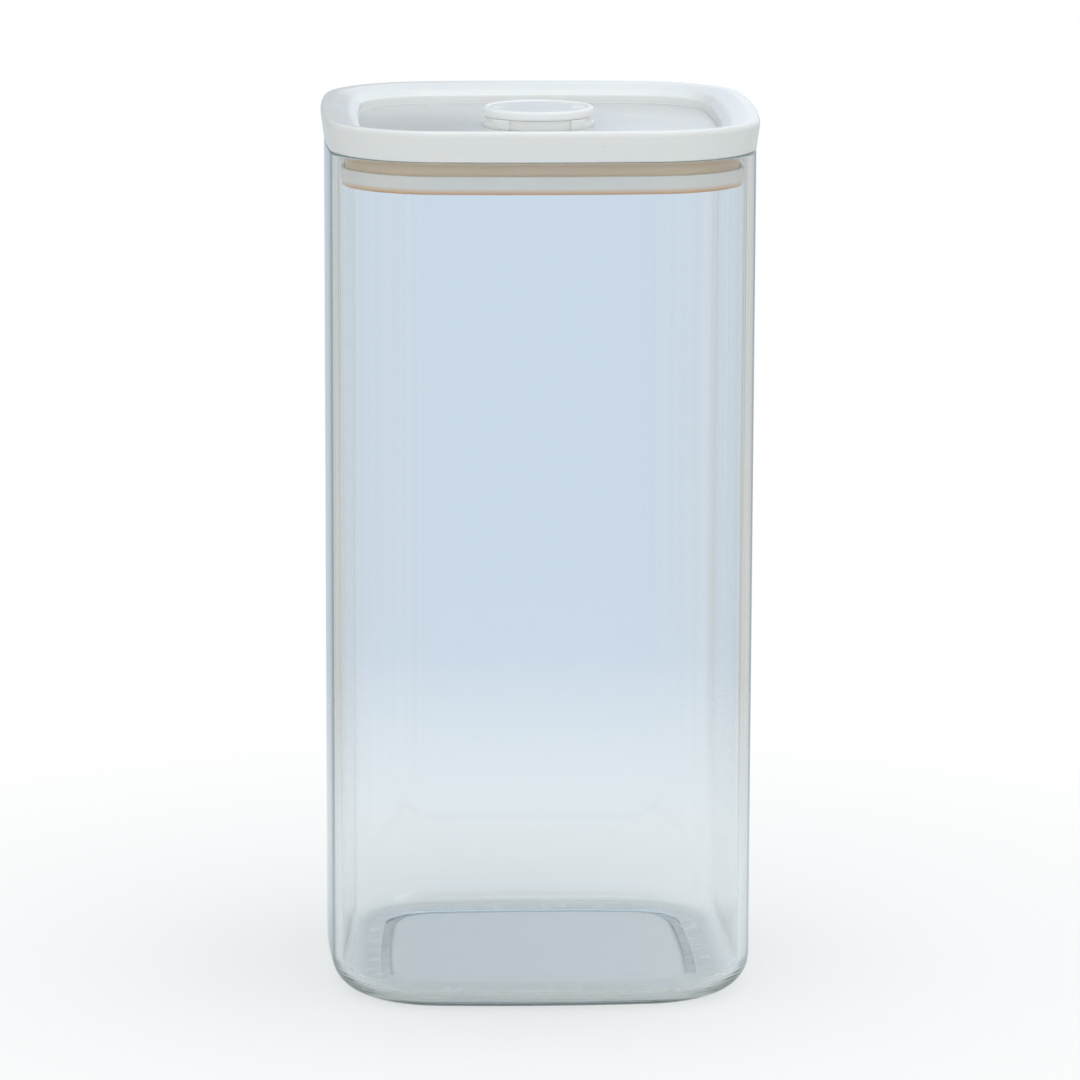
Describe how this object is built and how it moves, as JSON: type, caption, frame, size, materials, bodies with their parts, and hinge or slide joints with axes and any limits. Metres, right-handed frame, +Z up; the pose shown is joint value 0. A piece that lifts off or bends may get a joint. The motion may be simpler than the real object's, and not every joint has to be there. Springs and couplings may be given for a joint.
{
  "type": "food canister",
  "caption": "Tall square food canister with round corners: clear glass vessel, drop-in plug lid with a silicone lip seal, and a pull-up air vent knob in a shallow recess.",
  "frame": {"origin": "centre of the vessel's base, on the surface it stands on", "axes": "+Z up along the canister's height, +X to the right and -Y towards the viewer, square to the flat sides; the deep notches of the vent collar face -Y and +Y"},
  "size_m": [0.122, 0.122, 0.2467],
  "materials": {
    "glass": "clear, fire-polished",
    "lid_plastic": "milky white, satin gloss",
    "plug_plastic": "milky ivory, satin",
    "vent_plastic": "translucent milky, satin",
    "knob_plastic": "milky white, satin",
    "silicone": "translucent white silicone",
    "o_ring_rubber": "black, matte",
    "steel": "turned stainless"
  },
  "bodies": {
    "vessel": {"vessel": "glass"},
    "lid": {"lid_cover": "lid_plastic", "lid_plug": "plug_plastic", "gasket": "silicone", "vent_cup": "vent_plastic"},
    "knob": {"vent_knob": "knob_plastic", "vent_seal": "silicone", "vent_stem": "steel", "stem_o_ring": "o_ring_rubber", "retaining_clip": "steel"}
  },
  "joints": [
    {"name": "lid_lift", "type": "slide", "parent": "vessel", "child": "lid", "axis": [0, 0, 1], "range_m": [0, 0.06]},
    {"name": "vent_pull", "type": "slide", "parent": "lid", "child": "knob", "axis": [0, 0, 1], "range_m": [0, 0.003]}
  ]
}
